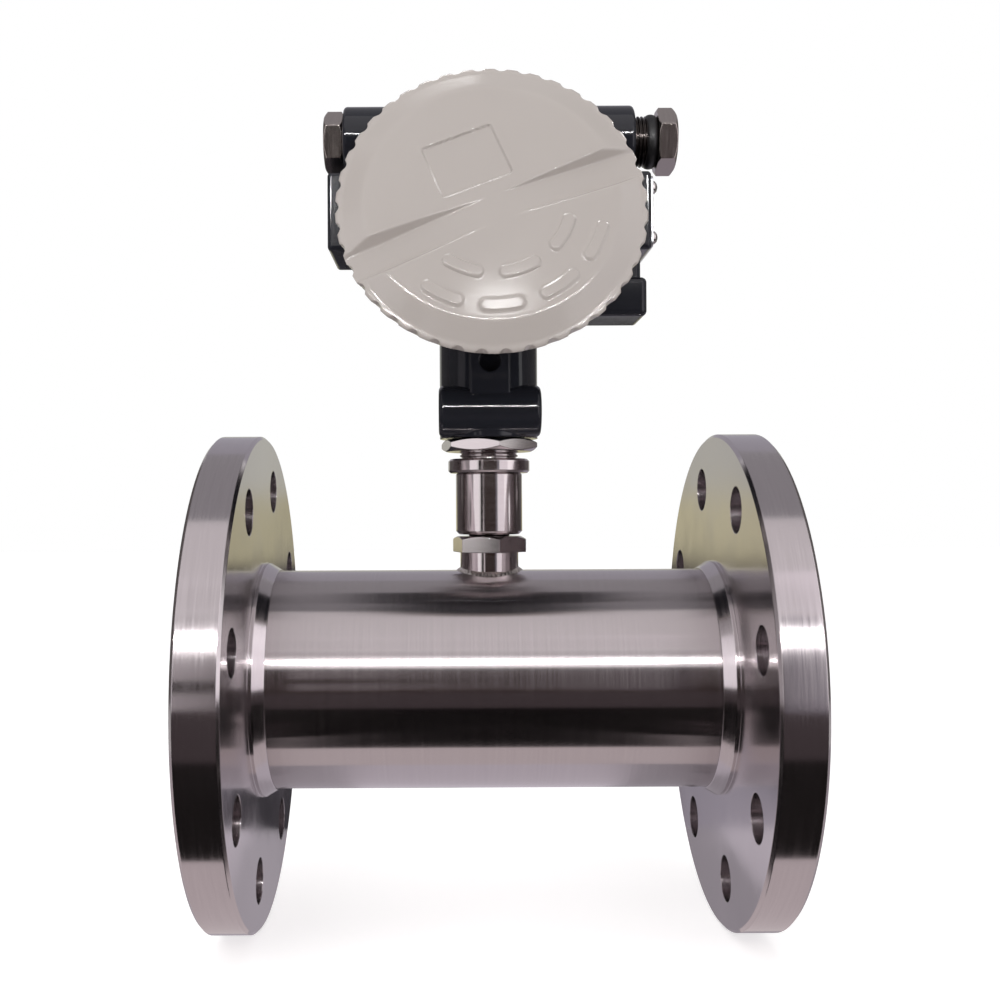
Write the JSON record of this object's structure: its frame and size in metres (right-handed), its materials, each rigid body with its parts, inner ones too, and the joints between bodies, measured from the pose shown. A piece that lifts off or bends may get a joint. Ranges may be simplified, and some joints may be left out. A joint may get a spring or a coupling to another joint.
{
  "type": "turbine flow meter",
  "caption": "Inline flanged turbine flow meter: rotor on vaned supports in a flanged tube, magnetic pickup sleeve, and a cast terminal head with screwed round cover and conduit plugs.",
  "frame": {"origin": "centre of the inlet sealing face on the pipe axis", "axes": "+X along the pipe axis in the flow direction, +Z towards the terminal head, so the cover looks along -Y"},
  "size_m": [0.225, 0.2, 0.3398],
  "materials": {
    "polished_stainless": "polished turned stainless steel",
    "turned_stainless": "fine turned stainless steel",
    "weld_stainless": "cleaned weld bead",
    "cast_stainless": "machined rotor steel",
    "nickel_plated_steel": "dull nickel plate",
    "spring_steel": "dark spring steel",
    "carbide": "ground hard metal",
    "copper_wire": "enamelled copper winding",
    "magnet_alloy": "cast magnet",
    "nylon_natural": "moulded",
    "painted_casting_dark": "gloss enamel over cast aluminium",
    "painted_casting_grey": "semi-gloss enamel over cast aluminium",
    "nitrile_rubber": "moulded black rubber",
    "aluminium_plate": "anodised plate",
    "fibreglass_board": "solder-masked laminate",
    "black_moulding": "moulded",
    "green_moulding": "moulded",
    "plated_brass": "plated brass",
    "lead_jacket": "extruded"
  },
  "bodies": {
    "meter": {"body_tube": "polished_stainless", "inlet_flange": "turned_stainless", "outlet_flange": "turned_stainless", "upstream_support": "turned_stainless", "downstream_support": "turned_stainless", "upstream_bush": "carbide", "downstream_bush": "carbide", "upstream_thrust_pad": "carbide", "downstream_thrust_pad": "carbide", "inlet_retaining_ring": "spring_steel", "outlet_retaining_ring": "spring_steel", "sensor_boss": "turned_stainless", "boss_weld": "weld_stainless", "jam_nut": "turned_stainless", "sensor_sleeve": "turned_stainless", "pickup_bobbin": "nylon_natural", "pickup_coil": "copper_wire", "pole_piece": "spring_steel", "pickup_magnet": "magnet_alloy", "preamp_board": "fibreglass_board", "sleeve_adapter": "turned_stainless"},
    "rotor": {"rotor_hub": "cast_stainless", "rotor_blades": "cast_stainless", "rotor_shaft": "carbide"},
    "head": {"housing": "painted_casting_dark", "nameplate": "aluminium_plate", "nameplate_rivets": "nickel_plated_steel", "circuit_board": "fibreglass_board", "board_standoffs": "plated_brass", "board_screws": "nickel_plated_steel", "earth_screw": "plated_brass", "terminal_block": "green_moulding", "terminal_screws": "nickel_plated_steel", "board_components": "black_moulding", "lead_socket": "black_moulding", "signal_lead": "lead_jacket"},
    "cover_ring": {"cover_seal": "nitrile_rubber"},
    "cover": {"front_cover": "painted_casting_grey"},
    "left_plug_ring": {"left_plug_seal": "nitrile_rubber"},
    "left_plug": {"left_plug": "nickel_plated_steel"},
    "right_plug_ring": {"right_plug_seal": "nitrile_rubber"},
    "right_plug": {"right_plug": "nickel_plated_steel"},
    "lock_nut_ring": {"lock_nut_seal": "nitrile_rubber"},
    "lock_nut": {"lock_nut": "turned_stainless"}
  },
  "joints": [
    {"name": "rotor_spin", "type": "hinge", "parent": "meter", "child": "rotor", "pos_m": [0.1125, 0, 0], "axis": [1, 0, 0], "continuous": true},
    {"name": "head_swivel", "type": "hinge", "parent": "meter", "child": "head", "pos_m": [0.1125, 0, 0.1], "axis": [0, 0, 1], "range_deg": [-170, 170]},
    {"name": "lock_nut_travel", "type": "slide", "parent": "meter", "child": "lock_nut_ring", "axis": [0, 0, 1], "range_m": [-0.00263, 0]},
    {"name": "lock_nut_turn", "type": "hinge", "parent": "lock_nut_ring", "child": "lock_nut", "pos_m": [0.1125, 0, 0.0959], "axis": [0, 0, 1], "range_deg": [-630, 0]},
    {"name": "cover_travel", "type": "slide", "parent": "head", "child": "cover_ring", "axis": [0, -0.9703, 0.2419], "range_m": [0, 0.012]},
    {"name": "cover_turn", "type": "hinge", "parent": "cover_ring", "child": "cover", "pos_m": [0.1125, -0.05, 0.1831], "axis": [0, -0.9703, 0.2419], "range_deg": [0, 2160]},
    {"name": "left_plug_travel", "type": "slide", "parent": "head", "child": "left_plug_ring", "axis": [-1, 0, 0], "range_m": [0, 0.015]},
    {"name": "left_plug_turn", "type": "hinge", "parent": "left_plug_ring", "child": "left_plug", "pos_m": [0.0545, -0.012, 0.218], "axis": [-1, 0, 0], "range_deg": [0, 3600]},
    {"name": "right_plug_travel", "type": "slide", "parent": "head", "child": "right_plug_ring", "axis": [1, 0, 0], "range_m": [-0.00825, 0.0075]},
    {"name": "right_plug_turn", "type": "hinge", "parent": "right_plug_ring", "child": "right_plug", "pos_m": [0.1705, -0.012, 0.218], "axis": [1, 0, 0], "range_deg": [-1980, 1800]}
  ],
  "couplings": [
    {"joint": "lock_nut_travel", "follows": "lock_nut_turn", "m_per_rad": 0.00023873},
    {"joint": "cover_travel", "follows": "cover_turn", "m_per_rad": 0.00031831},
    {"joint": "left_plug_travel", "follows": "left_plug_turn", "m_per_rad": 0.00023873},
    {"joint": "right_plug_travel", "follows": "right_plug_turn", "m_per_rad": 0.00023873}
  ]
}
